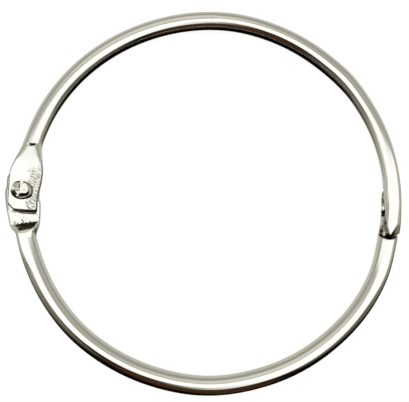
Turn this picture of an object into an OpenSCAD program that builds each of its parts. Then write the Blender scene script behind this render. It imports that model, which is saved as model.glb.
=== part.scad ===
// Hinged loose-leaf binder ring, in millimetres.
// Two half rings of round plated wire. One end of each is pressed flat and drilled, and a rivet
// joins the two flats face to face. The other ends are cut to half their thickness and hook
// into each other. The ring's circle lies in the XY plane with its centre at the origin,
// the rivet's axis is on -X and the clasp is on +X.

/* [Ring] */
// Inner diameter of the closed ring
inner_d = 64; // [50:0.5:90]
// Diameter of the round wire
wire_d = 3.4; // [3:0.1:4.2]
// Where the clasp's middle lies, in degrees from the point opposite the rivet
clasp_turn = -3.3; // [-5:0.1:5]

/* [Hinge plates] */
// Width of the front half's flat plate
front_plate_w = 5.7; // [5.2:0.1:6.4]
// Width of the back half's flat plate
back_plate_w = 6.2; // [5.6:0.1:7]
// How far the front plate sits towards the ring's inside, and the back plate towards its outside
plate_shift = 0.17; // [0:0.01:0.4]
// Distance from the rivet's axis to each plate's free end
plate_end = 3.9; // [3.4:0.1:5]
// Length of the taper from each plate to the round wire
taper_len = 5.8; // [4.5:0.1:8]
// Depth of each plate's face below the crest of the wire
press_depth = 0.09; // [0.05:0.01:0.25]
// Gap between the two plates
plate_gap = 0.1; // [0.08:0.01:0.2]
// Slope of the ramp behind each plate, in degrees
fold_slope = 50; // [40:1:65]
// Free play between a plate's corner and the other half's fold
swing_clear = 0.7; // [0.4:0.05:1.2]
// Radius of the free end's outer corner
outer_corner = 1.4; // [0.8:0.1:1.8]
// Radius of the free end's inner corner
inner_corner = 0.5; // [0.4:0.05:1]
// Width of the broken edge round each plate
plate_edge = 0.3; // [0.1:0.05:0.35]

/* [Rivet] */
// Diameter of the rivet's shank
shank_d = 2.5; // [2:0.1:2.8]
// Diameter of both rivet heads
head_d = 3.9; // [3.6:0.1:4.8]
// Height of each rivet head
head_h = 0.65; // [0.4:0.05:0.9]
// Height of the straight rim below each domed head
head_rim = 0.12; // [0.05:0.01:0.25]
// Radial clearance of the shank in the front plate
front_play = 0.04; // [0.02:0.01:0.08]
// Radial clearance of the shank in the back plate, where the rivet rocks
back_play = 0.06; // [0.04:0.01:0.09]
// Gap under each rivet head
head_play = 0.05; // [0.03:0.01:0.1]

/* [Clasp] */
// Length of each half lap, from its middle to the shoulder
lap_len = 4.4; // [3.5:0.1:6]
// Height of the hook's step
hook_h = 0.6; // [0.3:0.05:0.7]
// Gap between the two hook faces
hook_gap = 0.16; // [0.1:0.02:0.3]
// Gap between the two lapped tongues
tongue_gap = 0.1; // [0.06:0.02:0.2]
// Gap between a tongue's tip and the shoulder that it points to
tip_gap = 0.16; // [0.1:0.02:0.4]
// Slope of the shoulder, in degrees
shoulder_slope = 60; // [45:1:75]
// Length of the sloped lead-in under each tongue's tip
lead_len = 0.7; // [0.3:0.1:1.2]
// Width cut from the inside of the front tongue at its tip
front_trim = 0.75; // [0.1:0.05:1.2]
// Width cut from the inside of the back tongue at its tip
back_trim = 0.15; // [0.1:0.05:1.2]
// Width cut from the outside of each tongue at its tip
outer_trim = 1.8; // [0.8:0.05:2.1]
// How sharply a tongue's outer edge turns in towards its tip
nose_power = 2; // [1.6:0.1:4]

/* [Hidden] */
$fn = 96;

wire_r = wire_d / 2;
ring_r = inner_d / 2 + wire_r;             // radius of the wire's centre line
past = 1;                                  // how far cutters run past what they cut
splice = 0.5;                              // overlap where two lengths of the same wire join
bury = 0.02;                               // how far cut wire ends inside the plate that covers it

plate_z0 = plate_gap / 2;                  // a front plate's mating face
plate_z1 = wire_r - press_depth;           // a front plate's outer face
corner_reach = norm([max(front_plate_w, back_plate_w) / 2 + plate_shift, plate_end]);
fold_at = corner_reach + swing_clear;      // distance from the rivet's axis to the fold
fold_run = (wire_r + plate_z0) / tan(fold_slope);
taper_from = fold_at - taper_len * 0.4;    // the plate keeps its full width up to here
taper_to = taper_from + taper_len;         // and has run into the round wire here
round_off = 0.75;                          // share of the taper where its rounded end begins

hook_z = hook_h / 2;
groove_z = hook_z + tongue_gap / 2;        // underside of a front tongue behind the hook
tooth_z = -hook_z + tongue_gap / 2;        // underside of its tooth
tip_at = lap_len - tip_gap;                // distance from the clasp's middle to a tip
shoulder_run = (wire_r + groove_z) / tan(shoulder_slope);
clasp_reach = lap_len + shoulder_run + past;   // length of wire that the clasp's cuts touch

head_z = plate_z1 + head_play;             // underside of a rivet head
dome_h = head_h - head_rim;
dome_r = (pow(head_d / 2, 2) + pow(dome_h, 2)) / (2 * dome_h);

// Angle that a length along the wire's centre line spans, in degrees
function arc_angle(length) = length / ring_r * 180 / PI;

// A point of a plate's outline: along the wire from the rivet, and outwards from its centre line.
// Past the rivet the plate runs straight on to its free end.
function plate_point(along, out) =
    let (a = 180 - arc_angle(max(0, along)))
    [(ring_r + out) * cos(a), (ring_r + out) * sin(a) + min(0, along)];

// Half the plate's width at a distance from the rivet: a straight taper to the wire's radius,
// which rounds off at its very end to run in under the wire's surface
function half_width(along, w) =
    let (
        u = max(0, (along - taper_from) / taper_len),
        v = max(0, (u - round_off) / (1 - round_off))
    )
    w / 2 - (w / 2 - wire_r) * u - wire_r / 2 * v * v;

// Outline of a plate of width w whose middle is off to one side, drawn in by inset all round
function plate_outline(w, off, inset) =
    let (
        steps = 18,
        turns = 6,
        out_c = plate_end - outer_corner,
        in_c = plate_end - inner_corner
    )
    concat(
        [for (i = [0 : steps])
            let (s = taper_to - i * (taper_to + out_c) / steps)
            plate_point(s, off + half_width(s, w) - inset)],
        [for (i = [1 : turns])
            let (a = i * 90 / turns)
            plate_point(-out_c - (outer_corner - inset) * sin(a),
                        off + w / 2 - outer_corner + (outer_corner - inset) * cos(a))],
        [for (i = [0 : turns - 1])
            let (a = 90 + i * 90 / turns)
            plate_point(-in_c - (inner_corner - inset) * sin(a),
                        off - w / 2 + inner_corner + (inner_corner - inset) * cos(a))],
        [for (i = [0 : steps])
            let (s = -in_c + i * (taper_to + in_c) / steps)
            plate_point(s, off - half_width(s, w) + inset)]
    );

// Flat plate with a broken edge: four rings of the same outline, joined up
module plate(w, off) {
    levels = [
        [plate_z0, plate_edge],
        [plate_z0 + plate_edge, 0],
        [plate_z1 - plate_edge, 0],
        [plate_z1, plate_edge]
    ];
    n = len(plate_outline(w, off, 0));
    last = len(levels) - 1;
    polyhedron(
        points = [for (level = levels, p = plate_outline(w, off, level[1])) [p[0], p[1], level[0]]],
        faces = concat(
            [[for (i = [0 : n - 1]) i]],
            [[for (i = [n - 1 : -1 : 0]) last * n + i]],
            [for (k = [0 : last - 1], i = [0 : n - 1])
                [k * n + i, (k + 1) * n + i, (k + 1) * n + (i + 1) % n]],
            [for (k = [0 : last - 1], i = [0 : n - 1])
                [k * n + i, (k + 1) * n + (i + 1) % n, k * n + (i + 1) % n]]
        ),
        convexity = 4
    );
}

// Round wire from one angle to another
module wire_arc(from, to) {
    rotate([0, 0, from])
        rotate_extrude(angle = to - from)
            translate([ring_r, 0])
                circle(r = wire_r);
}

// Side outline, along Y and up Z, turned into a cutter right across the wire
module side_cutter(points, half) {
    rotate([90, 0, 90])
        translate([0, 0, -half])
            linear_extrude(height = 2 * half)
                polygon(points);
}

// What is pressed away at the hinge end: below the plate, and above its face
module hinge_cut() {
    reach = max(front_plate_w, back_plate_w) + past;
    translate([-ring_r, 0, 0]) {
        side_cutter([
            [-past, -wire_r - past],
            [fold_at + fold_run * (1 + past / (wire_r + plate_z0)), -wire_r - past],
            [fold_at, plate_z0],
            [fold_at, plate_z0 + bury],
            [-past, plate_z0 + bury]
        ], reach);
        side_cutter([
            [-past, plate_z1 - bury],
            [taper_to, plate_z1 - bury],
            [taper_to, wire_r + past],
            [-past, wire_r + past]
        ], reach);
    }
}

// What is cut away below the tongue, in the clasp's own place: shoulder, groove, hook and tooth
module lap_cut() {
    side_cutter([
        [lap_len + shoulder_run * (1 + past / (wire_r + groove_z)), -wire_r - past],
        [lap_len, groove_z],
        [-hook_gap / 2, groove_z],
        [-hook_gap / 2, tooth_z],
        [-tip_at + lead_len, tooth_z],
        [-tip_at, tooth_z + lead_len / 2],
        [-tip_at - past, tooth_z + lead_len / 2],
        [-tip_at - past, -wire_r - past]
    ], wire_d);
}

// What is trimmed from the tongue's two sides, seen from above
module plan_cut(inner_trim) {
    steps = 14;
    translate([0, 0, -wire_d])
        linear_extrude(height = 2 * wire_d)
            polygon([
                [-wire_r - past, lap_len],
                [-wire_r - past / 4, lap_len],
                [-wire_r + inner_trim, -tip_at],
                [-wire_r + inner_trim, -tip_at - past],
                [-wire_r - past, -tip_at - past]
            ]);
    translate([0, 0, -wire_d])
        linear_extrude(height = 2 * wire_d)
            polygon(concat(
                [for (i = [0 : steps])
                    let (u = i / steps)
                    [wire_r - outer_trim * pow(u, nose_power), -tip_at * u]],
                [[-wire_r + inner_trim - past, -tip_at],
                 [-wire_r + inner_trim - past, -tip_at - 2 * past],
                 [wire_r + past, -tip_at - 2 * past],
                 [wire_r + past, 0]]
            ));
}

// The hooked end of a front half ring, in the clasp's own place
module clasp_end(inner_trim) {
    difference() {
        translate([-ring_r, 0, 0])
            wire_arc(-arc_angle(tip_at + past / 2), arc_angle(clasp_reach));
        lap_cut();
        plan_cut(inner_trim);
    }
}

// The front half ring: its plate lies above the ring's plane and so does its tongue
module half_ring(clasp_angle, inner_trim, w, off, bore_r) {
    difference() {
        union() {
            rotate([0, 0, clasp_angle])
                translate([ring_r, 0, 0])
                    clasp_end(inner_trim);
            difference() {
                wire_arc(clasp_angle + arc_angle(clasp_reach - splice), 180 - arc_angle(fold_at - past / 2));
                hinge_cut();
            }
            plate(w, off);
        }
        translate([-ring_r, 0, plate_z0 - past])
            cylinder(r = bore_r, h = plate_z1 - plate_z0 + 2 * past);
    }
}

module upper_half_ring() {
    color([0.80, 0.80, 0.78])
        half_ring(clasp_turn, front_trim, front_plate_w, -plate_shift, shank_d / 2 + front_play);
}

// The same half ring turned over about the line through the rivet
module lower_half_ring() {
    color([0.70, 0.70, 0.68])
        rotate([180, 0, 0])
            half_ring(-clasp_turn, back_trim, back_plate_w, plate_shift, shank_d / 2 + back_play);
}

// Low domed head, standing on z = 0
module rivet_head() {
    intersection() {
        cylinder(d = head_d, h = head_h);
        translate([0, 0, head_h - dome_r])
            sphere(r = dome_r);
    }
}

module rivet() {
    color([0.62, 0.60, 0.56])
        translate([-ring_r, 0, 0]) {
            translate([0, 0, -head_z - head_rim / 2])
                cylinder(d = shank_d, h = 2 * head_z + head_rim);
            for (side = [0, 180])
                rotate([side, 0, 0])
                    translate([0, 0, head_z])
                        rivet_head();
        }
}

upper_half_ring();
lower_half_ring();
rivet();
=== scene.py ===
"""A hinged binder ring: two halves of nickel plated wire, pressed flat and riveted together at
one end, cut to half their thickness and hooked together at the other."""
import functools
import math

import bmesh
import bpy
import numpy as np
from mathutils import Matrix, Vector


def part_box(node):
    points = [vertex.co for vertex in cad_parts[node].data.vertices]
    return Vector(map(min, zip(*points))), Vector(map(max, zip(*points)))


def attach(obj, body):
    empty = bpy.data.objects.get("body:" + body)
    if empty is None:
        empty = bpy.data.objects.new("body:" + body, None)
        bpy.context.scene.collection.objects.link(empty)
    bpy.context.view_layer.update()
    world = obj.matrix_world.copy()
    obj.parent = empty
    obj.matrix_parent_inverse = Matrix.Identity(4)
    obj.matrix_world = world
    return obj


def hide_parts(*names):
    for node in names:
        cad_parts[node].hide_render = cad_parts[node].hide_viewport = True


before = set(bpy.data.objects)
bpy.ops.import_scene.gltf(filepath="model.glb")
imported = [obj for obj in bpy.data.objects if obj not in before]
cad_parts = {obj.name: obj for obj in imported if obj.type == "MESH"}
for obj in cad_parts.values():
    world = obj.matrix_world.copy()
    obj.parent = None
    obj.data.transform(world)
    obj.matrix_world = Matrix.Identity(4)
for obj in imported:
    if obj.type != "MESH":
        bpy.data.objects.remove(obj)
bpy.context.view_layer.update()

# ---------------- sizes, in millimetres

MM = 0.001
rivet_low, rivet_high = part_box("rivet")
half_low, half_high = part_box("lower_half_ring")

WIRE_R = (half_high.z - half_low.z) / 2 / MM + 0.02     # with its plating
RING_R = -(rivet_low.x + rivet_high.x) / 2 / MM         # radius of the wire's centre line
HEAD_TOP = rivet_high.z / MM

PLATE_END = 3.9          # from the rivet's axis to a plate's free end
PLATE_GAP = 0.1          # between the two plates
PLATE_FACE = 1.61        # height of a plate's outer face above the ring's middle plane
PLATE_MIDDLE = 0.83      # height of the middle of its thickness
PRESS_END = 8.78         # where the press stopped and the round wire stands up again
PRESS_ASKEW = 0.27       # how far the die's edge ran along the wire, for each millimetre across
FOLD_AT = 5.79           # foot of the ramp behind a plate
FOLD_SLOPE = 50.0        # of that ramp, in degrees
NICK_AT = -0.75          # nick in the back plate's outer edge
INNER_CORNER = 0.5       # radius of a plate's inner corner
SQUARENESS = 4.5         # of the upper side of the pressed section, where 0 is round
SHANK_R = 1.25           # the rivet's shank
BORE_PLAY = 0.05         # between the shank and the hole
HEAD_UNDER = 1.66        # underside of a rivet head
HEAD_WIDE = 2.06         # half width of a hammered rivet head
HEAD_TALL = 1.68         # half of its length along the plate
TOP_X = 0.43             # middle of its tall lobe, to the right of the axis
TOP_Y = 0.35             # and above it

LAP_LEN = 4.4            # from the clasp's middle to the shoulder
TIP_GAP = 0.16           # between a tongue's tip and the other half's shoulder
TIP_AT = LAP_LEN - TIP_GAP
LEAD_LEN = 0.7           # length of the slope under a tongue's tip
HOOK_GAP = 0.16          # between the two hooks
GROOVE_Z = 0.35          # underside of a front tongue behind its hook
TOOTH_Z = -0.25          # underside of its tooth
SHOULDER_SLOPE = 66.0    # degrees
TRIM_LEVEL = 1.35        # height at which a tongue's slanting outer cut meets its trim line
CLASP_TURN = -3.3        # degrees from the point opposite the rivet

SIDES = 128              # faces round the wire
FINE_STEP = 0.06         # spacing of the rings of faces where the wire is worked
HINGE_STEPS = 220        # of that spacing at the hinge end, from the free end
CLASP_STEPS = 200        # and at the clasp end
LONG_STEP = 0.45         # spacing along the plain wire
HALVINGS = 24            # steps in the search for the surface along each ray
FARTHEST = 5.0           # where that search begins
SHARP_EDGE = 50          # degrees between faces from which an edge is shaded as sharp


# ---------------- small helpers

MATHS, MIX, RANGE = "ShaderNodeMath", "ShaderNodeMix", "ShaderNodeMapRange"


def linear(hex_colour):
    """An sRGB hex colour as the linear values that a shader takes."""
    parts = [int(hex_colour[i:i + 2], 16) / 255 for i in (1, 3, 5)]
    return [c / 12.92 if c <= 0.04045 else ((c + 0.055) / 1.055) ** 2.4 for c in parts] + [1.0]


def add(tree, kind, inputs=None, **settings):
    """One node of a tree, with its settings and with what goes into its sockets: a plain value,
    or the output or the node that feeds it. A node stands for its first output."""
    made = tree.nodes.new(kind)
    for name, value in settings.items():
        setattr(made, name, value)
    for socket, given in (inputs or {}).items():
        if isinstance(given, bpy.types.Node):
            given = next(output for output in given.outputs if output.enabled)
        if isinstance(given, bpy.types.NodeSocket):
            tree.links.new(given, made.inputs[socket])
        else:
            made.inputs[socket].default_value = given
    return made


def ease(value, start, end):
    """0 before start, 1 after end, and a smooth rise between them."""
    t = np.clip((value - start) / (end - start), 0, 1)
    return t * t * (3 - 2 * t)


def round_max(a, b, k):
    """The larger of two distances, with the edge between them rounded off over k."""
    h = np.clip(0.5 + 0.5 * (a - b) / k, 0, 1)
    return a * h + b * (1 - h) + k * h * (1 - h)


def bumps(x, y, z, size, seed):
    """Smooth irregular waves about size millimetres long, between about -1 and 1."""
    rng = np.random.default_rng(seed)
    total = np.zeros_like(x)
    for _ in range(14):
        way = rng.normal(size=3)
        way *= 2 * math.pi / size * rng.uniform(0.7, 1.5) / np.linalg.norm(way)
        total += np.sin(way[0] * x + way[1] * y + way[2] * z + rng.uniform(0, 2 * math.pi))
    return total / 3.6


def flat_bumps(x, y, size, seed):
    """The same waves on a face."""
    return bumps(x, y, 0 * x, size, seed)


def bell(value, middle, spread):
    """1 at the middle, falling smoothly to 0 on both sides over about twice the spread."""
    return np.exp(-((value - middle) / spread) ** 2)


def spot(x, y, at_x, at_y, wide, tall):
    """The same over an oval."""
    return bell(x, at_x, wide) * bell(y, at_y, tall)


def new_object(name, data):
    """An object in the scene."""
    made = bpy.data.objects.new(name, data)
    bpy.context.scene.collection.objects.link(made)
    return made


def evaluated_mesh(made):
    """A mesh of an object with its modifiers applied."""
    evaluated = made.evaluated_get(bpy.context.evaluated_depsgraph_get())
    return bpy.data.meshes.new_from_object(evaluated)


# ---------------- round wire, by geometry nodes

def round_wire_tree():
    """Wire swept along a half ring: fine rings of faces at both worked ends, long ones between."""
    tree = bpy.data.node_groups.new("round wire", "GeometryNodeTree")
    sockets = {"Long Step": "Float", "Long Steps": "Int", "Points": "Int", "Finish": "Material"}
    for name, kind in sockets.items():
        tree.interface.new_socket(name, in_out="INPUT", socket_type="NodeSocket" + kind)
    tree.interface.new_socket("Geometry", in_out="OUTPUT", socket_type="NodeSocketGeometry")
    node = functools.partial(add, tree)
    given = node("NodeGroupInput").outputs

    # How far each point of the path has come along the wire
    index = node("GeometryNodeInputIndex")
    past = node(MATHS, {0: index, 1: HINGE_STEPS}, operation="SUBTRACT")
    past = node(MATHS, {0: past, 1: 0.0}, operation="MAXIMUM")
    long = node(MATHS, {0: past, 1: given["Long Steps"]}, operation="MINIMUM")
    fine = node(MATHS, {0: index, 1: long}, operation="SUBTRACT")
    along = node(MATHS, {0: fine, 1: FINE_STEP * MM, 2: -PLATE_END * MM}, operation="MULTIPLY_ADD")
    along = node(MATHS, {0: long, 1: given["Long Step"], 2: along}, operation="MULTIPLY_ADD")

    # Its place: on a straight end before the rivet's axis, and round the ring after it
    straight = node(MATHS, {0: along, 1: 0.0}, operation="MINIMUM")
    turn = node(MATHS, {0: along, 1: 0.0}, operation="MAXIMUM")
    turn = node(MATHS, {0: turn, 1: RING_R * MM}, operation="DIVIDE")
    x = node(MATHS, {0: turn}, operation="COSINE")
    x = node(MATHS, {0: x, 1: -RING_R * MM}, operation="MULTIPLY")
    y = node(MATHS, {0: turn}, operation="SINE")
    y = node(MATHS, {0: y, 1: RING_R * MM, 2: straight}, operation="MULTIPLY_ADD")
    place = node("ShaderNodeCombineXYZ", {"X": x, "Y": y})

    # The section swept along those places
    line = node("GeometryNodeMeshLine", {"Count": given["Points"], "Offset": (0, 0, MM)})
    points = node("GeometryNodeSetPosition", {"Geometry": line, "Position": place})
    path = node("GeometryNodeMeshToCurve", {"Mesh": points})
    section = node("GeometryNodeCurvePrimitiveCircle",
                   {"Resolution": SIDES, "Radius": WIRE_R * MM})
    wire = node("GeometryNodeCurveToMesh",
                {"Curve": path, "Profile Curve": section, "Fill Caps": True})
    real = node("GeometryNodeRealizeInstances", {"Geometry": wire})
    plated = node("GeometryNodeSetMaterial", {"Geometry": real, "Material": given["Finish"]})
    node("NodeGroupOutput", {0: plated})
    return tree


def wire_blank(name, tree, length, finish):
    """A plain round half ring as a mesh object, from its free end to the tip of its tongue."""
    plain = length + PLATE_END - (HINGE_STEPS + CLASP_STEPS) * FINE_STEP
    long_steps = round(plain / LONG_STEP)
    sizes = {
        "Long Step": plain / long_steps * MM,
        "Long Steps": long_steps,
        "Points": HINGE_STEPS + CLASP_STEPS + long_steps + 1,
        "Finish": finish,
    }
    holder = new_object(name + "_path", bpy.data.meshes.new(name + "_path"))
    modifier = holder.modifiers.new("round wire", "NODES")
    modifier.node_group = tree
    for item in tree.interface.items_tree:
        if item.in_out == "INPUT":
            modifier[item.identifier] = sizes[item.name]
    mesh = evaluated_mesh(holder)
    bpy.data.objects.remove(holder)
    return new_object(name, mesh)


# ---------------- pressing and cutting the wire

def sideways(half, angle, to_middle):
    """How far the wire strays outwards from a true circle: slow bends, and a lean at its clasp."""
    degrees = np.degrees(angle)
    stray = sum(far * bell(degrees, at, spread) for at, spread, far in half["bends"])
    return stray + half["lean"] * ease(-to_middle, -12.5, -4.5)


def front_reach(along):
    """How far the front plate reaches outwards and inwards from the wire's centre line."""
    outward = WIRE_R + 0.85 * (1 - ease(along, 2.2, 7.4)) + 0.15 * (1 - ease(along, 6.0, 10.5))
    outward = np.minimum(outward, 2.5 + 0.14 * ease(along, 1.0, 3.6))
    inward = WIRE_R + 1.6 * (1 - ease(along, 3.2, 10.2)) - 0.5 * ease(-along, -2.4, 2.0)
    return outward, inward


def back_reach(along):
    """The same for the back plate, which is wider, with a nick in its outer edge and a quick
    shoulder at the fold."""
    outward = WIRE_R + 1.65 - 0.65 * ease(along, -0.3, 6.4) - 1.0 * ease(along, 5.6, 7.7)
    outward = outward - 0.2 * bell(along, NICK_AT, 0.22) - 0.2 * ease(-along, 0.8, 1.3)
    inward = WIRE_R + 1.12 + 0.23 * ease(along, 0.9, 2.0) - 0.42 * ease(along, 2.8, 7.2)
    return outward, inward - 0.93 * ease(along, 5.7, 8.9)


def press_end(along, out):
    """0 on the pressed flat and 1 on the round wire past it. The die's edge lay a little askew."""
    ragged = 0.07 * flat_bumps(out, 0 * out, 0.8, 21)
    return ease(along + ragged + PRESS_ASKEW * out, PRESS_END, PRESS_END + 0.1)


def gouge(along, out):
    """The notch where the die's corner dug in: deep at its outer end, thin at its inner end."""
    before_wall = PRESS_END - PRESS_ASKEW * out - along
    wide = 0.36 * ease(out, -1.2, -0.1) + 0.07
    across = ease(out, -1.15, -0.5) * (1 - ease(out, 0.12, 0.28))
    return across * (1 - ease(before_wall, wide * 0.6, wide)) * ease(before_wall, -0.12, -0.04)


def hammered(along, out):
    """1 where the hammer marked the front plate, along its inner side, and 0 elsewhere."""
    patchy = 0.35 * flat_bumps(along, out, 2.2, 5)
    return ease(-out + patchy, 0.75, 1.25) * (1 - ease(along + 0.5 * patchy, 3.4, 5.2))


def hammer_strokes(along, out):
    """Short slanting strokes about 0.5 mm apart, from 0 between them to 1 in their middles."""
    spacing = 0.5
    rows = (0.85 * along - 0.5 * out) / spacing * 2 * math.pi
    strokes = np.sin(rows + 1.1 * flat_bumps(along, out, 1.1, 6))
    broken = flat_bumps(along, out, 0.8, 3)
    lighter = 1 - 0.3 * ease(along, -1.5, 0.5)
    return lighter * hammered(along, out) * ease(strokes, 0.1, 0.7) * ease(broken, -0.4, 0.2)


def front_dents(along, out):
    """Depth taken off the front plate's face: hammer strokes on its inner side and one gouge."""
    pits = flat_bumps(along, out, 0.46, 3)
    marks = 0.01 * hammered(along, out) * np.maximum(0.2 + pits, 0)
    return marks + 0.045 * hammer_strokes(along, out) + 0.22 * gouge(along, out)


def back_dents(along, out):
    """Marks on the back plate's outer face."""
    return 0.004 * (1 + flat_bumps(along, out, 0.9, 8))


def torn_ramp(along, out):
    """1 on the ramp that the die tore behind the back plate, and 0 off it."""
    past_fold = along - FOLD_AT
    ragged = 0.16 * flat_bumps(out, along, 0.7, 14)
    top = 7.05 - 0.5 * ease(-out, 0.9, 1.9)
    on_ramp = ease(along + ragged, FOLD_AT - 0.12, FOLD_AT + 0.05)
    below_top = 1 - ease(along + ragged, top - 0.1, top + 0.15)
    half_wide = 1.62 - 0.75 * past_fold
    off_middle = np.abs(out + 0.25 + 0.12 * past_fold)
    return on_ramp * below_top * (1 - ease(off_middle, half_wide - 0.2, half_wide + 0.1))


def press_mark(along, out, long, wide):
    """1 in the middle of a round press mark near the back plate's outer edge."""
    return spot(along, out, 5.42, 1.71, long, wide)


def scratch(along, out, wide):
    """1 along the middle of a short slanting scratch on the back plate."""
    across = (along - 5.3) * 0.55 + (out - 0.25) * 0.83
    down = (along - 5.3) * 0.83 - (out - 0.25) * 0.55
    return np.exp(-(across / wide) ** 2 - (down / 0.4) ** 4)


def back_mating_dents(along, out):
    """Marks on the side of the back half that shows beside the front plate: the press mark, the
    scratch and the torn face of the ramp."""
    rough = flat_bumps(along, out, 0.5, 11) + 0.7 * flat_bumps(along, out, 0.26, 12)
    fine = 0.006 * np.maximum(flat_bumps(along, out, 0.42, 13), 0)
    dents = 0.05 * press_mark(along, out, 0.26, 0.3) + 0.03 * scratch(along, out, 0.07)
    return dents + 0.06 * torn_ramp(along, out) * rough + fine


def worn_spots_and_shade(along, out):
    """Where the plating of the back half is scuffed or chipped off beside the front plate, with
    painted shade on its outer strip next to the front plate.
    """
    spots = [
        0.7 * press_mark(along, out, 0.24, 0.28),
        1.2 * scratch(along, out, 0.09),
        0.8 * ease(flat_bumps(along, out, 0.42, 13), 1.1, 1.5) * ease(along, 4.0, 4.4),
        1.4 * bell(along, NICK_AT, 0.2) * ease(out, 3.3, 3.6),
        # Painted shade on the outer strip of the back plate, beside the front plate's side
        0.42 * ease(out, 2.3, 2.45) * (1 - ease(along, 3.0, 3.3)),
    ]
    return np.where(along < 5.75, np.max(spots, axis=0), 0)


def plain_mating_dents(along, out):
    """None on the front half's mating side, which is hidden."""
    return 0 * along


def plate_core(along):
    """Height of the middle of the section: that of the plate, then that of the wire."""
    return PLATE_MIDDLE * (1 - ease(along, 5.2, 7.8))


def plate_outline(half, along, out):
    """How far the pressed end reaches outwards and inwards, with its corners rounded off, and
    the way left to its free end."""
    outward, inward = half["reach"](along)
    end = along + PLATE_END - half["end_filed"] - half["end_skew"] * out
    outer_drop = np.clip(1 - end / half["outer_corner"], 0, 1)
    outer_drop = outer_drop * (1 - ease(end, half["corner_end"], half["corner_end"] + 0.2))
    outward = outward - half["corner_width"] * (1 - np.sqrt(1 - outer_drop ** 2))
    inner_drop = np.clip(INNER_CORNER - end, 0, INNER_CORNER)
    inward = inward - INNER_CORNER + np.sqrt(INNER_CORNER ** 2 - inner_drop ** 2)
    return outward, inward, end


def pressed_section(half, along, out, height, outward, inward, bottom):
    """Signed distance to the section squeezed between the dies, before its faces are flattened:
    squarish above its middle and full below it."""
    outer = out > 0
    core = plate_core(along)
    across = np.abs(out) / np.where(outer, outward, inward)
    squeezed = np.clip((9.3 - along) / np.where(outer, 3.8, 2.7), 0, 1)
    square = 2 + SQUARENESS * squeezed ** np.where(outer, 2.2, 1.3)
    belly = 2 + half["belly"] * (1 - ease(along, 5.9, 8.4))
    outer_belly = 2 + half["outer_belly"] * ease(along, 15, 9.5)
    belly = np.where(outer, np.maximum(belly, outer_belly), belly)
    up = height > core
    power = np.where(up, square, belly)
    tall = np.where(up, WIRE_R + 0.02 - core, core - bottom)
    level = (across ** power + (np.abs(height - core) / tall) ** power) ** (1 / power)
    far = np.sqrt(out ** 2 + (height - core) ** 2)
    return far - far / np.maximum(level, 1e-6)


def hinge_distance(half, along, out, height):
    """Signed distance to the pressed end's surface, below 0 inside the metal."""
    outward, inward, end = plate_outline(half, along, out)
    ramp = PLATE_GAP / 2 - np.maximum(along - FOLD_AT, 0) * math.tan(math.radians(FOLD_SLOPE))
    bottom = np.maximum(ramp, -WIRE_R)
    body = pressed_section(half, along, out, height, outward, inward, bottom)

    # The flat outer face, sheared down round the free end
    past = press_end(along, out)
    face = PLATE_FACE + (WIRE_R + 0.05 - PLATE_FACE) * past
    face = face - half["dents"](along, out) * (1 - past)
    outer_side = outward - out + 2.5 * ease(end, 1.3, 2.3)
    inner_side = inward + out + 2.5 * ease(end, 0.5, 0.9)
    to_rim = np.minimum(end, np.minimum(1.3 * outer_side, inner_side))
    bevel = np.clip(half["end_bevel"] - to_rim, 0, half["end_bevel"]) * 1.7
    face = face - bevel * (1 + 0.12 * bumps(out, height, end, 0.45, 23))
    body = round_max(body, height - face, half["edge_round"])

    # The mating side, flat and then falling away down the ramp
    mating = ramp + half["mating_dents"](along, out) - height
    roundness = 0.06 + 0.5 * ease(along, 6.5, 7.3)
    roundness = roundness + half["lip_round"] * ease(out, 0.8, 1.6) * (1 - ease(along, 2.9, 3.9))
    return round_max(body, mating * np.where(along > FOLD_AT, 0.7, 1.0), roundness)


def clasp_section(half, to_middle, out, height):
    """Signed distance to the whole wire near the clasp. The jaws that held it for cutting left
    it a little thinner and squarer there."""
    inner = out < 0
    inside_held = ease(to_middle, 3.0, 7.0) * (1 - ease(to_middle, 22.0, 28.0))
    outside_held = ease(to_middle, -2.0, 1.0) * (1 - ease(to_middle, 9.0, 24.0))
    inside_thin = half["inner_squeeze"] * inside_held
    outside_thin = half["outer_squeeze"] * outside_held
    narrower = 1 - np.where(inner, inside_thin, outside_thin)
    held = np.where(inner, ease(to_middle, 1.0, 6.0), ease(to_middle, -1.5, 2.0))
    square = 2 + half["clasp_square"] * (1 - ease(to_middle, 6.0, 20.0)) * held
    return (np.abs(out / narrower) ** square + np.abs(height) ** square) ** (1 / square) - WIRE_R


def clasp_edges(half, to_middle):
    """Where the inner and outer sides of a tongue are trimmed to, and how far along it is."""
    lapped = np.clip((LAP_LEN - to_middle) / (LAP_LEN + TIP_AT), 0, 1)
    inner_edge = -WIRE_R - 0.25 + (0.25 + half["inner_trim"]) * lapped
    inner_edge = inner_edge + 0.3 * ease(-to_middle, 2.6, 4.6)
    nose = np.clip(-to_middle / TIP_AT, 0, 1.12)
    outer_edge = WIRE_R + 0.05 - half["outer_trim"] * nose ** half["nose_curve"]
    return inner_edge, outer_edge, lapped


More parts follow.
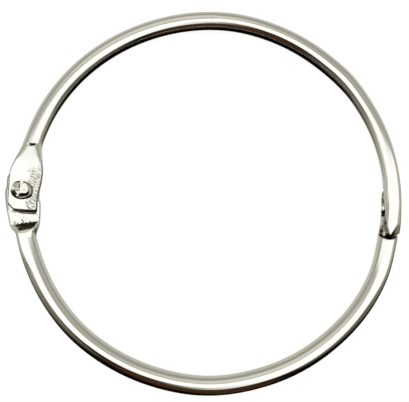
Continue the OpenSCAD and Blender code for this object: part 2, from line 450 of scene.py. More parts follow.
def clasp_distance(half, to_middle, out, height):
    """Signed distance to the lapped end's surface, by the way left to the clasp's middle."""
    wire = clasp_section(half, to_middle, out, height)

    # The underside: the slope below the tip, the hook, the groove and the shoulder
    to_tip = to_middle + TIP_AT + half["tip_longer"] - half["tip_skew"] * ease(out, -0.2, 1.5)
    hook = ease(-to_middle, HOOK_GAP / 2 - 0.06, HOOK_GAP / 2 + 0.06)
    under = GROOVE_Z + (TOOTH_Z - GROOVE_Z) * hook
    under = under + 0.5 * np.clip(LEAD_LEN - to_tip, 0, LEAD_LEN)
    under = under + half["hook_chip"] * bell(to_middle, 0.2, 0.3) * ease(-out, 0.8, 1.4)
    shoulder = LAP_LEN - half["shoulder_skew"] * ease(out, -0.4, 2.2)
    under = under - np.maximum(to_middle - shoulder, 0) * math.tan(math.radians(SHOULDER_SLOPE))
    wire = round_max(wire, (under - height) * np.where(to_middle > shoulder, 0.6, 1.0), 0.11)

    # The sides and the end
    inner_edge, outer_edge, lapped = clasp_edges(half, to_middle)
    filed = half["inner_file"] * lapped ** 2 * np.maximum(height - 0.4, 0)
    wire = round_max(wire, inner_edge + filed - out, half["inner_round"])
    slanted = half["tip_slant"] * ease(-to_middle, -0.8, 2.8) * (height - TRIM_LEVEL)
    wire = round_max(wire, (out - outer_edge + slanted) * 0.9, 0.16)
    return round_max(wire, -to_tip, 0.3)


def section_way(turn, wide, tall):
    """Direction of a point that runs evenly round a rectangle, for one that runs round a circle."""
    quarter = np.floor(turn / (math.pi / 2))
    part = turn / (math.pi / 2) - quarter
    part = np.where(quarter % 2 == 1, 1 - part, part)
    run = part * (wide + tall)
    x = np.where(run < tall, wide, wide + tall - run)
    y = np.minimum(run, tall)
    way = np.arctan2(y, x)
    way = np.where(quarter % 2 == 1, math.pi - way, way)
    return np.where(quarter >= 2, way + math.pi, way)


def ray_starts(half, along, to_middle, turn):
    """Where the ray of each point starts inside the metal, outwards and up, and which way it
    goes. On the plate and on the tongue the rays are spread to suit the flat faces."""
    lower = turn > math.pi
    plate_wide, plate_tall = 2.8, 0.8
    even = section_way(np.where(lower, turn - math.pi, turn), plate_wide, plate_tall)
    even = even + np.where(lower, math.pi, 0)
    way = turn + (even - turn) * (1 - ease(along, 5.4, 9.6))
    lap = 1 - ease(to_middle, 3.6, 6.2)
    flattened = 0.62
    flat_way = np.arctan2(flattened * np.sin(turn), np.cos(turn))
    nearer = (flat_way - turn + math.pi) % (2 * math.pi) - math.pi
    way = np.where(lap > 0, turn + nearer * lap, way)
    inner_edge, outer_edge, _ = clasp_edges(half, to_middle)
    start_out = 0.5 * lap * (inner_edge + outer_edge + 0.1)
    tongue_middle = 0.93 - 0.2 * ease(-to_middle, -0.5, 0.5)
    return start_out, plate_core(along) + tongue_middle * lap, way


def surface_points(half, along, to_middle, turn, at_hinge):
    """Where the rays meet the pressed and cut surface, outwards and up, and the rays' ways."""
    start_out, start_high, way = ray_starts(half, along, to_middle, turn)
    near = np.zeros_like(along)
    far = np.full_like(along, FARTHEST)
    for _ in range(HALVINGS):
        reach = (near + far) / 2
        out = start_out + reach * np.cos(way)
        height = start_high + reach * np.sin(way)
        to_plate = hinge_distance(half, along, out, height)
        to_tongue = clasp_distance(half, to_middle, out, height)
        inside = np.where(at_hinge, to_plate, to_tongue) < 0
        near = np.where(inside, reach, near)
        far = np.where(inside, far, reach)
    return start_out + near * np.cos(way), start_high + near * np.sin(way), way


def hinge_wear(half, along, out, height, facing):
    """Where a plate is pitted, and how dark it is made: 1 is dark steel and more is dark brown. On
    the front plate the gouge and the shear band at the free end are cut steel with painted shade in
    the gouge's hollow and the gap at the end, and the rounded side edges of its face are made
    darker.
    Height is above the ring's middle plane, and facing is below 0 on the mating side."""
    if half["turned_over"]:
        mating = facing < -0.2
        pitted = 0.1 * (1 - ease(along, 5.4, 5.8)) * mating
        worn_and_shade = worn_spots_and_shade(along, out) * (facing < 0.3)
        return pitted, np.maximum(torn_ramp(along, out) * mating, worn_and_shade)
    outside = facing > 0.2
    pitted = (0.3 * hammered(along, out) + 0.7 * hammer_strokes(along, out)) * outside
    side = ease(PLATE_FACE - height, 0.03, 0.09) * (1 - ease(along, 5.0, 7.0))
    sheared_end_and_shade = ease(PLATE_FACE - height, 0.05, 0.2) * (1 - ease(along + PLATE_END, 1.7, 2.2))
    streaky = 1.25 + 0.15 * bumps(along, out, height, 0.4, 24)
    # Painted shade: the gouge's hollow and the shear band at the free end are darkened past the
    # exposed steel; side only darkens the rounded side edges
    marks = [1.5 * gouge(along, out) * outside, 0.85 * side, streaky * sheared_end_and_shade * (height > 0.1)]
    return pitted, np.max(marks, axis=0)


def clasp_wear(half, to_middle, out, height, facing):
    """How dark the cuts at the clasp are made, and where they are filed smooth. The cut faces are
    exposed steel, with painted shade in the gaps at the hook, the shoulder and the tip and on the
    lapped face that the other half shades.
    """
    cut = ease(-clasp_section(half, to_middle, out, height), 0.04, 0.16)
    shoulder = ease(to_middle, LAP_LEN - 0.1, LAP_LEN + 0.1)
    tip = ease(-to_middle, TIP_AT - 0.25, TIP_AT - 0.05)
    nose = 0.12 * ease(-to_middle, 1.4, 2.4) + 0.9 * ease(-to_middle, 3.1, 4.0)
    # Painted shade in the gaps at the shoulder, the tip and the hook
    rough = 1.4 * (shoulder + tip) + 1.3 * bell(to_middle, 0.1, 0.4)
    rough = rough + nose * (height > 0.6) * (out > -0.4)
    groove = 0.5 * bell(to_middle, -2.1, 0.45) - 0.6 * bell(to_middle, -0.75, 0.3)
    rough = rough + groove * (out < -0.7)
    # Painted shade, patchy, on the lapped face beside the other half's tongue
    patches = 0.4 * np.maximum(flat_bumps(to_middle, out, 0.9, 41), 0)
    lap_shade = 0.35 + 0.6 * ease(to_middle, 2.4, 3.6) + patches
    rough = rough + 0.2 + lap_shade * ease(-out, 0.5, 1.2)
    if half["turned_over"]:
        scored = bell(to_middle + 0.25 * out, 5.5, 0.07) * ease(out, -0.5, 0.0) * (facing > 0.3)
        return np.maximum(cut * np.clip(rough, 0, 1.4), 0.9 * scored), 0 * cut
    filed = ease(TRIM_LEVEL - height, 0.0, 0.3) * (out > -0.2)
    filed = filed * ease(-to_middle, 0.6, 1.4) * ease(to_middle + TIP_AT, 0.1, 0.6)
    return cut * np.clip(rough, 0, 1.4) * (1 - 0.9 * filed), cut * filed


def mark_points(mesh, label, values):
    """Keeps one value for every point of a mesh, for a finish to use."""
    mark = mesh.attributes.new(label, "FLOAT", "POINT")
    mark.data.foreach_set("value", values)


def shape_half(piece, half):
    """Presses the hinge end and cuts the clasp end of a plain half ring, in its own place."""
    mesh = piece.data
    flat = np.empty(len(mesh.vertices) * 3)
    mesh.vertices.foreach_get("co", flat)
    x, y, z = flat.reshape(-1, 3).T / MM
    straight = (x < 0) & (y < 0)
    angle = np.where(straight, math.pi, np.arctan2(y, x))
    along = np.where(straight, y, (math.pi - angle) * RING_R)
    out = np.where(straight, -x - RING_R, np.hypot(x, y) - RING_R)
    turn = np.arctan2(z, out) % (2 * math.pi)
    middle = (math.pi - math.radians(half["clasp_turn"])) * RING_R
    to_middle = middle - along
    at_hinge = along < middle / 2

    out, height, way = surface_points(half, along, to_middle, turn, at_hinge)
    thicker = 1 + half["girth"] * ease(along, 8, 12)
    radius = RING_R + out * thicker + sideways(half, angle, to_middle)
    x = np.where(straight, -radius, radius * np.cos(angle))
    y = np.where(straight, along, radius * np.sin(angle))
    if half["turned_over"]:
        y, height = -y, -height
    mesh.vertices.foreach_set("co", (np.stack([x, y, height], 1) * MM).ravel())

    # Length along the wire and round it, for the drawn lines of the finish
    lines = mesh.uv_layers.new(name="along_wire")
    corner_vertex = np.empty(len(mesh.loops), int)
    mesh.loops.foreach_get("vertex_index", corner_vertex)
    lines.data.foreach_set("uv", np.stack([along, turn * WIRE_R], 1)[corner_vertex].ravel())

    facing = np.sin(way)
    pitted, torn_and_shade = hinge_wear(half, along, out, height, facing)
    cut_torn_and_shade, filed = clasp_wear(half, to_middle, out, height, facing)
    mark_points(mesh, "pitted", np.where(at_hinge, pitted, 0))
    mark_points(mesh, "torn_and_shade", np.maximum(torn_and_shade, np.where(at_hinge, 0, cut_torn_and_shade)))
    mark_points(mesh, "filed", np.where(at_hinge, 0, filed))
    mesh.update()


def drill(piece, radius):
    """Drills the rivet's hole through a plate."""
    cutter_mesh = bpy.data.meshes.new("drill")
    bm = bmesh.new()
    bmesh.ops.create_cone(bm, cap_ends=True, segments=96, radius1=radius * MM, radius2=radius * MM,
                          depth=8 * MM, matrix=Matrix.Translation((-RING_R * MM, 0, 0)))
    bm.to_mesh(cutter_mesh)
    bm.free()
    cutter = new_object("drill", cutter_mesh)
    cut = piece.modifiers.new("bore", "BOOLEAN")
    cut.operation = "DIFFERENCE"
    cut.solver = "EXACT"
    cut.object = cutter
    drilled = evaluated_mesh(piece)
    piece.modifiers.remove(cut)
    piece.data = drilled
    bpy.data.objects.remove(cutter)


def finish_mesh(piece):
    """Outward faces, and smooth shading except across real edges."""
    bm = bmesh.new()
    bm.from_mesh(piece.data)
    bmesh.ops.recalc_face_normals(bm, faces=bm.faces)
    bm.to_mesh(piece.data)
    bm.free()
    piece.data.shade_smooth()
    piece.data.set_sharp_from_angle(angle=math.radians(SHARP_EDGE))


# ---------------- rivet

def head_swell(direction):
    """How far the hammer spread a head past an ellipse, to the upper left and lower right."""
    off = (direction - math.radians(128) + math.pi) % (2 * math.pi) - math.pi
    other = (direction + math.radians(42) + math.pi) % (2 * math.pi) - math.pi
    return 1 + 0.1 * bell(off, 0, 0.5) + 0.07 * bell(other, 0, 0.35)


def head_edge(x, y):
    """0 in the middle of a head and 1 at its edge."""
    across, up = x / HEAD_WIDE, y / HEAD_TALL
    return np.sqrt(across ** 2 + up ** 2) / head_swell(np.arctan2(up, across))


def head_heading(x, y):
    """Direction from the middle of a head, in degrees from 0 to 360."""
    return np.degrees(np.arctan2(y, x)) % 360


def degrees_apart(angle, other):
    """The smaller angle between two directions."""
    return np.abs((angle - other + 180) % 360 - 180)


def head_bridge(heading):
    """1 on the bridge of metal that the low lobe keeps to the rim, at its lower left."""
    return bell(heading, 240, 11)


def tall_lobe(x, y):
    """The lobe that the hammer left standing: a level top, a cliff on its left and a flank that
    is wide below and narrow above."""
    leaning = x + 0.22 * y - TOP_X
    up = y - TOP_Y
    beside = np.where(leaning > 0, leaning / 0.8, -leaning * 0.25)
    from_top = np.hypot(beside, up / np.where(up < 0, 0.98, 1.25))
    away = degrees_apart(np.degrees(np.arctan2(up, leaning)), -60)
    flank = 0.14 + 0.34 * (1 - ease(away, 85, 125)) + 0.2 * ease(away, 75, 25)
    fall = np.clip((from_top - 1) / flank, 0, 1) * ease(away, 175, 140)
    cliff = np.clip((x + 0.5) / 0.17, 0, 1)
    return 0.02 + (0.59 + 0.02 * y) * (1 - 0.75 * fall - 0.25 * ease(fall, 0, 1)) * cliff


def low_lobe(x, y, edge, heading):
    """The lobe that it beat down: level on top, gentle to the upper left, steep to the lower."""
    foot = 0.52 + 0.7 * ease(heading, 174, 190) + 1.4 * head_bridge(heading)
    level = 0.43 + 0.02 * y + 0.12 * ease(x, -1.05, -0.35) * ease(-y, 0.0, 0.3)
    below = np.where(y < -0.75, 0.5 - 1.4 * (x + 0.5), 1.0)
    low = np.minimum(np.minimum(level, (1 - edge) * foot), below)
    return np.where((heading > 95) & (heading < 262), low, 0)


def pressed_rim(x, y, edge, heading):
    """The thin rim that is pressed down on the plate, round the tall lobe."""
    crown = 0.76 + 0.05 * ease(-y, 0.3, 1.2) + 0.06 * ease(-x, -0.4, 0.4)
    inner = np.clip((edge - crown + 0.15) / 0.15, 0, 1)
    outer = np.clip((1 - edge) / (1 - crown), 0, 1)
    rimmed = ease(degrees_apart(heading, 330), 115, 85)
    return rimmed * (0.3 + 0.08 * ease(x, 0.3, 1.2)) * np.minimum(np.minimum(inner, outer), 0.85)


def head_height(x, y, seed):
    """Height of a hammered rivet head above its seat, at a place in millimetres from the axis."""
    edge = head_edge(x, y)
    heading = head_heading(x, y)
    lobes = np.maximum(tall_lobe(x, y), low_lobe(x, y, edge, heading))
    top = np.maximum(lobes, pressed_rim(x, y, edge, heading))
    top = top - 0.3 * bell(x, TOP_X, 0.1) * ease(y, 1.2, 1.4)
    top = np.minimum(top, 9 * (1 - edge).clip(0, 1))
    return np.clip(top, 0, 0.65) + 0.007 * flat_bumps(x, y, 0.6, seed) * (edge < 0.95)


def head_bareness_and_shade(x, y, seed):
    """How dark a head is made: where the hammer's blows took off the plating, and painted shade on
    its steep sides facing down and right, its cliff, edges, notch and foot.
    """
    step = 0.03
    rise_x = (head_height(x + step, y, seed) - head_height(x - step, y, seed)) / (2 * step)
    rise_y = (head_height(x, y + step, seed) - head_height(x, y - step, seed)) / (2 * step)
    steep = np.hypot(rise_x, rise_y)
    towards = (rise_y * 0.95 - rise_x * 0.22) / np.maximum(steep, 1e-6)
    scraped_and_shaded = ease(steep, 0.4, 0.75) * (0.12 + 0.88 * ease(towards, -0.1, 0.75))
    cliff = 0.75 * ease(steep, 1.2, 2.0) * ease(y, -0.5, 0.5) * (x < 0.3)
    edge = head_edge(x, y)
    outer = (0.78 - 0.3 * ease(y, -0.2, 0.8)) * ease(edge, 0.72, 0.84) * ease(x, 0.3, 1.1)
    brow = 0.95 * ease(edge, 0.78, 0.84) * ease(y, 1.28, 1.42) * ease(-x, 0.45, 0.6)
    heading = head_heading(x, y)
    bridge = head_bridge(heading) * (edge < 0.85)
    foot = 0.97 * ease(edge, 0.52, 0.58) * ease(heading, 180, 190) * ease(heading, 258, 248)
    notch = 0.9 * spot(x, y, TOP_X, 1.45, 0.14, 0.25)
    wedge = 0.4 * spot(x, y, -0.98, -0.15, 0.25, 0.5)
    dark_side = 0.98 * spot(x, y, -0.45, 0.82, 0.17, 0.32)
    dim_side = 0.6 * spot(x, y, -0.45, 0.45, 0.14, 0.45)
    # Painted shade on the steep and down-facing sides, the cliff, the edges, the foot and the
    # notch, with the dark spots, over the plating that the hammer took off
    marks = [scraped_and_shaded * (1 - 0.9 * bridge), cliff, outer, brow, foot * (1 - bridge)]
    marks += [notch, wedge, dark_side, dim_side]
    return np.clip(np.max(marks, axis=0), 0, 1)


def rivet_piece(finish):
    """Shank and two hammered heads in one closed mesh, turned about the rivet's axis."""
    around = 180
    angles = np.arange(around) * 2 * math.pi / around

    def seat_ring(x, y, side, bare_and_shade):
        return np.stack([x, y, np.full(around, side * HEAD_UNDER)], 1), np.full(around, bare_and_shade)

    def head_rings(side):
        seed = 31 if side > 0 else 37
        made = []
        for r in np.append(np.linspace(0.015, 0.93, 66), np.linspace(0.94, 1.0, 8)):
            reach = r * head_swell(angles)
            x, y = HEAD_WIDE * reach * np.cos(angles), HEAD_TALL * reach * np.sin(angles)
            z = np.minimum(HEAD_UNDER + head_height(x, y, seed), HEAD_TOP)
            made.append((np.stack([x, y, side * z], 1), head_bareness_and_shade(x, y, seed)))
        # The ring at the head's foot is darkest: painted shade where the head meets the plate
        made.append(seat_ring(x * 0.985, y * 0.985, side, 1.0))
        return made

    shank_x, shank_y = SHANK_R * np.cos(angles), SHANK_R * np.sin(angles)
    shank = [seat_ring(shank_x, shank_y, side, 0.0) for side in (1, -1)]
    rings = head_rings(1) + shank + head_rings(-1)[::-1]
    points = np.concatenate([place for place, bare_and_shade in rings]) + np.array([-RING_R, 0, 0])
    faces = []
    for k in range(len(rings) - 1):
        here, there = k * around, (k + 1) * around
        for i in range(around):
            j = (i + 1) % around
            faces.append((here + i, here + j, there + j, there + i))
    faces.append(tuple(range(around))[::-1])
    last = (len(rings) - 1) * around
    faces.append(tuple(range(last, last + around)))
    mesh = bpy.data.meshes.new("rivet_hammered")
    mesh.from_pydata((points * MM).tolist(), [], faces)
    mesh.materials.append(finish)
    mark_points(mesh, "bare_and_shade", np.concatenate([bare_and_shade for place, bare_and_shade in rings]))
    return new_object("rivet_hammered", mesh)


# ---------------- finishes

def new_material(name):
    """A material with an empty node tree."""
    material = bpy.data.materials.new(name)
    material.use_nodes = True
    material.node_tree.nodes.clear()
    return material, material.node_tree


def bright_nickel_plate():
    """Bright nickel plate on drawn steel wire. The plate is a slightly warm mirror; the wire
    under it gives faint lines along its length, and the press leaves fine pits at the hinge."""
    material, tree = new_material("bright nickel plate on drawn wire")
    node = functools.partial(add, tree)
    pitted = node("ShaderNodeAttribute", attribute_name="pitted").outputs["Fac"]
    torn_and_shade = node("ShaderNodeAttribute", attribute_name="torn_and_shade").outputs["Fac"]
    filed = node("ShaderNodeAttribute", attribute_name="filed").outputs["Fac"]
    place = node("ShaderNodeTexCoord").outputs["Object"]
    wire = node("ShaderNodeUVMap", uv_map="along_wire")

    # Drawn lines, about 0.15 mm apart and several millimetres long, and pits of about 0.25 mm
    stretched = node("ShaderNodeMapping", {"Vector": wire, "Scale": (0.25, 6.5, 1.0)})
    lines = node("ShaderNodeTexNoise",
                 {"Vector": stretched, "Scale": 1.0, "Detail": 3.0, "Roughness": 0.6})
    pits = node("ShaderNodeTexNoise",
                {"Vector": place, "Scale": 4000.0, "Detail": 2.0, "Roughness": 0.55})
    deep_pits = node(RANGE, {"Value": pits, "From Min": 0.28, "From Max": 0.5})
    strength = node(RANGE, {"Value": pitted, "To Min": 0.01, "To Max": 0.5})
    line_bump = node("ShaderNodeBump", {"Height": lines, "Strength": 0.08, "Distance": 0.02 * MM})
    bump = node("ShaderNodeBump", {"Height": deep_pits, "Strength": strength,
                                   "Distance": 0.03 * MM, "Normal": line_bump})

    # Whole plate, with old dirt in the hammer's strokes
    clouds = node("ShaderNodeTexNoise", {"Vector": place, "Scale": 260.0, "Detail": 3.0})
    plate = node(MIX, {"Factor": clouds, "A": linear("#e8e7e4"), "B": linear("#e0dfda")},
                 data_type="RGBA")
    dirty = node(RANGE, {"Value": pitted, "From Min": 0.1, "From Max": 0.9, "To Max": 0.72})
    plate = node(MIX, {"Factor": dirty, "A": plate, "B": linear("#706530")}, data_type="RGBA")

    # Sheared and cut metal shows dark steel, rough and dull; the darkest brown is painted shade in
    # the gaps and hollows at the clasp, the gouge and the free end, and it also marks the nick and
    # the scratch on the back plate
    streaks = node(RANGE, {"Value": pits, "From Min": 0.38, "From Max": 0.66})
    steel = node(MIX, {"Factor": streaks, "A": linear("#1b150f"), "B": linear("#968c6c")},
                 data_type="RGBA")
    grease_and_gap_shade = node(RANGE, {"Value": torn_and_shade, "From Min": 1.0, "From Max": 1.4})
    steel = node(MIX, {"Factor": grease_and_gap_shade, "A": steel, "B": linear("#2c1a0b")}, data_type="RGBA")
    colour = node(MIX, {"Factor": torn_and_shade, "A": plate, "B": steel}, data_type="RGBA")

    # Torn metal is dull, and a filed face is bright but satin
    rough = node(RANGE, {"Value": clouds, "To Min": 0.07, "To Max": 0.14})
    rough = node(MIX, {"Factor": torn_and_shade, "A": rough, "B": 0.42}, data_type="FLOAT")
    rough = node(MIX, {"Factor": filed, "A": rough, "B": 0.45}, data_type="FLOAT")
    metal = node("ShaderNodeBsdfPrincipled", {"Metallic": 1.0, "Base Color": colour,
                                              "Roughness": rough, "Normal": bump})
    node("ShaderNodeOutputMaterial", {"Surface": metal})
    return material


def hammered_rivet_nickel():
    """Nickel plated rivet, hammered over after plating, so it is a little duller and darker
    than the wire and marked by the hammer, with a grain of about 0.3 mm."""
    material, tree = new_material("hammered nickel plated rivet")
    node = functools.partial(add, tree)
    place = node("ShaderNodeTexCoord").outputs["Object"]
    scraped_and_shaded = node("ShaderNodeAttribute", attribute_name="bare_and_shade").outputs["Fac"]
    grain = node("ShaderNodeTexNoise", {"Vector": place, "Scale": 3300.0, "Detail": 2.0})
    bump = node("ShaderNodeBump", {"Height": grain, "Strength": 0.2, "Distance": 0.03 * MM})
    rough = node(RANGE, {"Value": grain, "To Min": 0.08, "To Max": 0.18})
    plate = node(MIX, {"Factor": grain, "A": linear("#e4e1da"), "B": linear("#d8d4ca")},
                 data_type="RGBA")
    # Dark where the plating is off, and painted shade on the head's steep sides, edges and foot
    colour = node(MIX, {"Factor": scraped_and_shaded, "A": plate, "B": linear("#1f1811")}, data_type="RGBA")
    metal = node("ShaderNodeBsdfPrincipled", {"Metallic": 1.0, "Base Color": colour,
                                              "Roughness": rough, "Normal": bump})
    node("ShaderNodeOutputMaterial", {"Surface": metal})
    return material


def white_paper():
    """The plain white sheet that the ring lies on. It shows as white, less the ring's shadow."""
    material, tree = new_material("white paper")
    node = functools.partial(add, tree)
    sheet = node("ShaderNodeBsdfDiffuse", {"Color": linear("#f4f4f4")})
    white = node("ShaderNodeEmission", {"Color": (1, 1, 1, 1), "Strength": 1.07})
    seen = node("ShaderNodeLightPath").outputs["Is Camera Ray"]
    share = node(MATHS, {0: seen, 1: 0.86}, operation="MULTIPLY")
    mixed = node("ShaderNodeMixShader", {0: share, 1: sheet, 2: white})
    node("ShaderNodeOutputMaterial", {"Surface": mixed})
    return material


# ---------------- studio

def soft_light(tree, way, azimuth, zenith, radius, edge):
    """1 inside a round soft light seen in a direction, and 0 outside it, in degrees."""
    a, t = math.radians(azimuth), math.radians(zenith)
    aim = (math.sin(t) * math.cos(a), math.sin(t) * math.sin(a), math.cos(t))
    facing = add(tree, "ShaderNodeVectorMath", {0: way, 1: aim}, operation="DOT_PRODUCT")
    return add(tree, RANGE, {
        "Value": facing.outputs["Value"],
        "From Min": math.cos(math.radians(radius + edge)),
        "From Max": math.cos(math.radians(radius - edge)),
    }, interpolation_type="SMOOTHSTEP")


def panel_light(tree, across, deep, deep_behind, sides, edge):
    """1 inside an overhead panel and 0 outside it. Its sides, left, right, front and back, are
    in heights above the object."""
    product = 1.0
    sockets = (across, across, deep, deep_behind)
    for value, side, inwards in zip(sockets, sides, (1, -1, 1, -1)):
        soft = inwards * edge * (2.0 if value is across else 1.0)
        inside = add(tree, RANGE,
                     {"Value": value, "From Min": side - soft, "From Max": side + soft},
                     interpolation_type="SMOOTHSTEP")
        product = add(tree, MATHS, {0: product, 1: inside}, operation="MULTIPLY")
    return product


def overhead_panels(tree, parts):
    """A wide panel, whose back edge bows away at both sides, and one that reaches forward on
    the right."""
    node = functools.partial(add, tree)
    upwards = node(MATHS, {0: parts["Z"], 1: 0.02}, operation="MAXIMUM")
    across = node(MATHS, {0: parts["X"], 1: upwards}, operation="DIVIDE")
    deep = node(MATHS, {0: parts["Y"], 1: upwards}, operation="DIVIDE")
    square = node(MATHS, {0: across, 1: across}, operation="MULTIPLY")
    rising = node(MATHS, {0: square, 1: 0.5}, operation="MULTIPLY")
    levelling = node(MATHS, {0: square, 1: 0.6, 2: 1.0}, operation="MULTIPLY_ADD")
    bow = node(MATHS, {0: rising, 1: levelling}, operation="DIVIDE")
    bowed = node(MATHS, {0: deep, 1: bow}, operation="SUBTRACT")
    wide_panel = panel_light(tree, across, deep, bowed, (-1.15, 2.0, -0.48, 0.26), 0.06)
    forward_panel = panel_light(tree, across, deep, deep, (0.05, 1.12, -1.02, 0.0), 0.17)
    panels = node(MATHS, {0: wide_panel, 1: forward_panel}, operation="MAXIMUM")
    above = node(RANGE, {"Value": parts["Z"], "From Min": 0.03, "From Max": 0.03 + 1 / 30})
    return node(MATHS, {0: panels, 1: above}, operation="MULTIPLY")


def pale_walls(tree, way, parts):
    """Walls at the back and sides, by height over distance back: a dark strip low down and a
    pale band over it, with one window behind and one on each side."""
    node = functools.partial(add, tree)
    back = node(MATHS, {0: parts["Y"], 1: 0.08}, operation="MAXIMUM")
    up = node(MATHS, {0: parts["Z"], 1: back}, operation="DIVIDE")
    up_wall = node(RANGE, {"Value": up, "From Min": -0.5, "From Max": 2.5})
    wall = node("ShaderNodeValToRGB", {"Fac": up_wall})
    greys = ((0.0, 0.64), (0.12, 0.62), (0.17, 0.52), (0.23, 0.41), (0.29, 0.37), (0.38, 0.42),
             (0.55, 0.54), (0.7, 0.5), (0.85, 0.41))
    while len(wall.color_ramp.elements) < len(greys):
        wall.color_ramp.elements.new(0.5)
    for stop, (at, grey) in zip(wall.color_ramp.elements, greys):
        stop.position = at
        stop.color = (grey, grey * 0.99, grey * 0.86, 1)
    window = soft_light(tree, way, 101, 37, 13, 11)
    lit = node(MIX, {"Factor": window, "A": wall, "B": (0.82, 0.81, 0.71, 1)}, data_type="RGBA")
    left = soft_light(tree, way, 184, 64, 11, 7)
    right = soft_light(tree, way, 358, 66, 9, 8)
    windows = node(MATHS, {0: left, 1: right}, operation="MAXIMUM")
    return node(MIX, {"Factor": windows, "A": lit, "B": (0.98, 0.95, 0.83, 1)}, data_type="RGBA")


def dark_screen(tree, way):
    """The screen in front, nearly black, with four dim brown glows."""
    node = functools.partial(add, tree)
    high = soft_light(tree, way, 264, 63, 26, 12)
    low = soft_light(tree, way, 284, 97, 12, 9)
    glow = node(MATHS, {0: high, 1: low}, operation="MAXIMUM")
    screen = node(MIX, {"Factor": glow, "A": (0.0012, 0.001, 0.001, 1),
                                    "B": (0.065, 0.03, 0.012, 1)}, data_type="RGBA")
    right = soft_light(tree, way, 318, 66, 9, 8)
    left = soft_light(tree, way, 219, 68, 9, 8)
    glows = node(MATHS, {0: right, 1: left}, operation="MAXIMUM")
    return node(MIX, {"Factor": glows, "A": screen, "B": (0.15, 0.13, 0.095, 1)}, data_type="RGBA")


def behind_screen(tree, way, parts):
    """0 on the screen in front and 1 on the walls. The screen leans under the object."""
    node = functools.partial(add, tree)
    level = node("ShaderNodeVectorMath", {0: way, 1: (1, 1, 0)}, operation="MULTIPLY")
    heading = node("ShaderNodeVectorMath", {0: level}, operation="NORMALIZE")
    front = node("ShaderNodeSeparateXYZ", {0: heading}).outputs["Y"]
    lean = node(MATHS, {0: parts["X"], 1: 0.24, 2: 0.62}, operation="MULTIPLY_ADD")
    below = node(MATHS, {0: parts["Z"], 1: 0.0}, operation="MINIMUM")
    sunk = node(MATHS, {0: below, 1: lean, 2: front}, operation="MULTIPLY_ADD")
    turned = node(MATHS, {0: parts["X"], 1: -0.035, 2: sunk}, operation="MULTIPLY_ADD")
    return node(RANGE, {"Value": turned, "From Min": -0.86, "From Max": 0.17},
                interpolation_type="SMOOTHSTEP")


def studio():
    """A wide soft panel overhead that reaches forward on the right, a window glow behind, pale
    walls at the back and sides and a dark screen in front."""
    world = bpy.data.worlds.new("studio")
    bpy.context.scene.world = world
    world.use_nodes = True
    tree = world.node_tree
    tree.nodes.clear()
    node = functools.partial(add, tree)
    way = node("ShaderNodeTexCoord").outputs["Generated"]
    parts = node("ShaderNodeSeparateXYZ", {0: way}).outputs

    # The walls turn browner as they run into the shade of the screen
    behind = behind_screen(tree, way, parts)
    shade = node(MIX, {"Factor": behind, "A": (1, 0.93, 0.76, 1),
                                   "B": (1, 1, 1, 1)}, data_type="RGBA")
    walls = node(MIX, {"Factor": 1.0, "A": pale_walls(tree, way, parts), "B": shade},
                 data_type="RGBA", blend_type="MULTIPLY")
    screen = dark_screen(tree, way)
    room = node(MIX, {"Factor": behind, "A": screen, "B": walls}, data_type="RGBA")
    panels = overhead_panels(tree, parts)
    lit = node(MIX, {"Factor": panels, "A": room, "B": (1.32, 1.32, 1.3, 1)}, data_type="RGBA")
    surroundings = node("ShaderNodeBackground", {"Color": lit, "Strength": 1.0})
    plain = node("ShaderNodeBackground", {"Color": (1, 1, 1, 1), "Strength": 1.0})
    seen = node("ShaderNodeLightPath").outputs["Is Camera Ray"]
    mixed = node("ShaderNodeMixShader", {0: seen, 1: surroundings, 2: plain})
    node("ShaderNodeOutputWorld", {"Surface": mixed})


def soft_lamp():
    """One large soft lamp overhead, for the faint shadow under the ring."""
    lamp = bpy.data.lights.new("overhead lamp", "AREA")
    lamp.shape = "DISK"
    lamp.size = 0.35
    lamp.energy = 0.9
    holder = new_object("overhead lamp", lamp)
    holder.location = (0, -0.05, 0.7)
    holder.visible_glossy = False


def paper_sheet(finish):
    """The sheet touches the rivet's lower head and the wire at the clasp, as the ring rests."""
    rise = (half_low.z - rivet_low.z) / (2 * RING_R * MM)
    far = 1.5
    corners = [(x, y, rivet_low.z + rise * (x + RING_R * MM))
               for x, y in ((-far, -far), (far, -far), (far, far), (-far, far))]
    mesh = bpy.data.meshes.new("sheet")
    mesh.from_pydata(corners, [], [(0, 1, 2, 3)])
    mesh.materials.append(finish)
    sheet = new_object("sheet", mesh)
    sheet.visible_glossy = False


def camera():
    """Looks almost straight down from a little in front, turned slightly about its own axis."""
    azimuth, elevation, roll = (math.radians(v) for v in (-5.6, 79.28, 7.16))
    distance = 0.2
    aim = Matrix.Rotation(azimuth, 4, "Z") @ Matrix.Rotation(math.pi / 2 - elevation, 4, "X")
    aim = aim @ Matrix.Rotation(roll, 4, "Z")
    data = bpy.data.cameras.new("camera")
    data.sensor_fit = "HORIZONTAL"
    data.sensor_width = 36.0
    data.lens = 96.49
    data.shift_x = -0.0094
    data.shift_y = -0.0092
    data.clip_start = 0.01
    holder = new_object("camera", data)
    holder.matrix_world = aim @ Matrix.Translation((0, 0, distance))
    bpy.context.scene.camera = holder


# ---------------- the ring

camera()
studio()
soft_lamp()
paper_sheet(white_paper())
bpy.context.scene.view_settings.view_transform = "Standard"

plated_wire = bright_nickel_plate()
plated_rivet = hammered_rivet_nickel()
wire_tree = round_wire_tree()

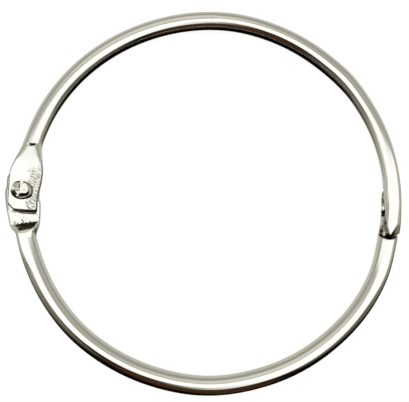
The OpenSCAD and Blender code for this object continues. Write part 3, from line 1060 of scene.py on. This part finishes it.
# The settings of the front half and of the back half, which is made like it and then turned over:
# lengths in millimetres, turns in degrees
SETTINGS = {
    "name": ("upper_half_wire", "lower_half_wire"),
    "body": ("upper_half", "lower_half"),
    "replaces": ("upper_half_ring", "lower_half_ring"),
    "turned_over": (False, True),
    "clasp_turn": (CLASP_TURN, -CLASP_TURN),
    "reach": (front_reach, back_reach),
    "dents": (front_dents, back_dents),
    "mating_dents": (plain_mating_dents, back_mating_dents),
    # The hinge end
    "outer_corner": (1.9, 1.5),    # of the free end's outer corner: length
    "corner_width": (2.35, 1.5),   # and its width
    "corner_end": (1.0, 9.0),      # where it stops short, from the free end
    "end_filed": (0.08, 0.0),      # taken off the free end
    "end_skew": (0.045, 0.0),      # its slant
    "edge_round": (0.2, 0.04),     # rounding along the edges of the outer face
    "lip_round": (0.0, 0.42),      # extra rounding under the outer edge
    "end_bevel": (0.38, 0.2),      # width of the shear round the free end
    "outer_belly": (0.0, 1.6),     # fullness of the lower outer side
    "belly": (3.0, 2.2),           # and of the rest of the lower side
    # The clasp
    "inner_trim": (0.75, 0.15),    # taken off the inner side of the tongue at its tip
    "outer_trim": (1.5, 1.8),      # and off its outer side
    "nose_curve": (1.2, 1.8),      # 1 is a straight trim, and more is a curved one
    "tip_longer": (0.28, 0.0),
    "tip_skew": (0.75, 0.0),       # how far the outer corner of the tip lies back
    "tip_slant": (0.9, 0.5),       # lean of the outer cut
    "inner_round": (0.12, 0.35),   # rounding of the tongue's inner edge
    "inner_squeeze": (0.15, 0.0),  # share by which the jaws thinned it, inside
    "outer_squeeze": (0.08, 0.0),  # and outside
    "clasp_square": (0.7, 0.3),    # how square they made the wire
    "hook_chip": (0.0, 0.45),      # depth of the chip at the inner end of the hook
    "shoulder_skew": (0.0, 0.6),   # how far the outer end of the shoulder lies forward
    "inner_file": (0.35, 0.0),     # slope filed on the inner side
    # The whole half
    "girth": (0.0, 0.03),          # share by which the wire is wider than true
    "lean": (0.0, -0.32),          # how far the half strays outwards at its clasp
    "bends": (                     # place and spread in degrees, and how far outwards
        ((22, 12, 0.05), (42, 6, 0.17), (84, 11, 0.09), (115, 20, -0.13), (163, 8, -0.06)),
        ((34, 17, 0.22), (62, 12, 0.12), (88, 12, 0.2), (132, 9, 0.08), (158, 12, -0.07)),
    ),
}

for side in (0, 1):
    half = {setting: pair[side] for setting, pair in SETTINGS.items()}
    length = (math.pi - math.radians(half["clasp_turn"])) * RING_R + TIP_AT + half["tip_longer"]
    piece = wire_blank(half["name"], wire_tree, length, plated_wire)
    shape_half(piece, half)
    drill(piece, SHANK_R + BORE_PLAY)
    finish_mesh(piece)
    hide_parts(half["replaces"])
    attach(piece, half["body"])

rivet = rivet_piece(plated_rivet)
finish_mesh(rivet)
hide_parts("rivet")
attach(rivet, "hinge_rivet")
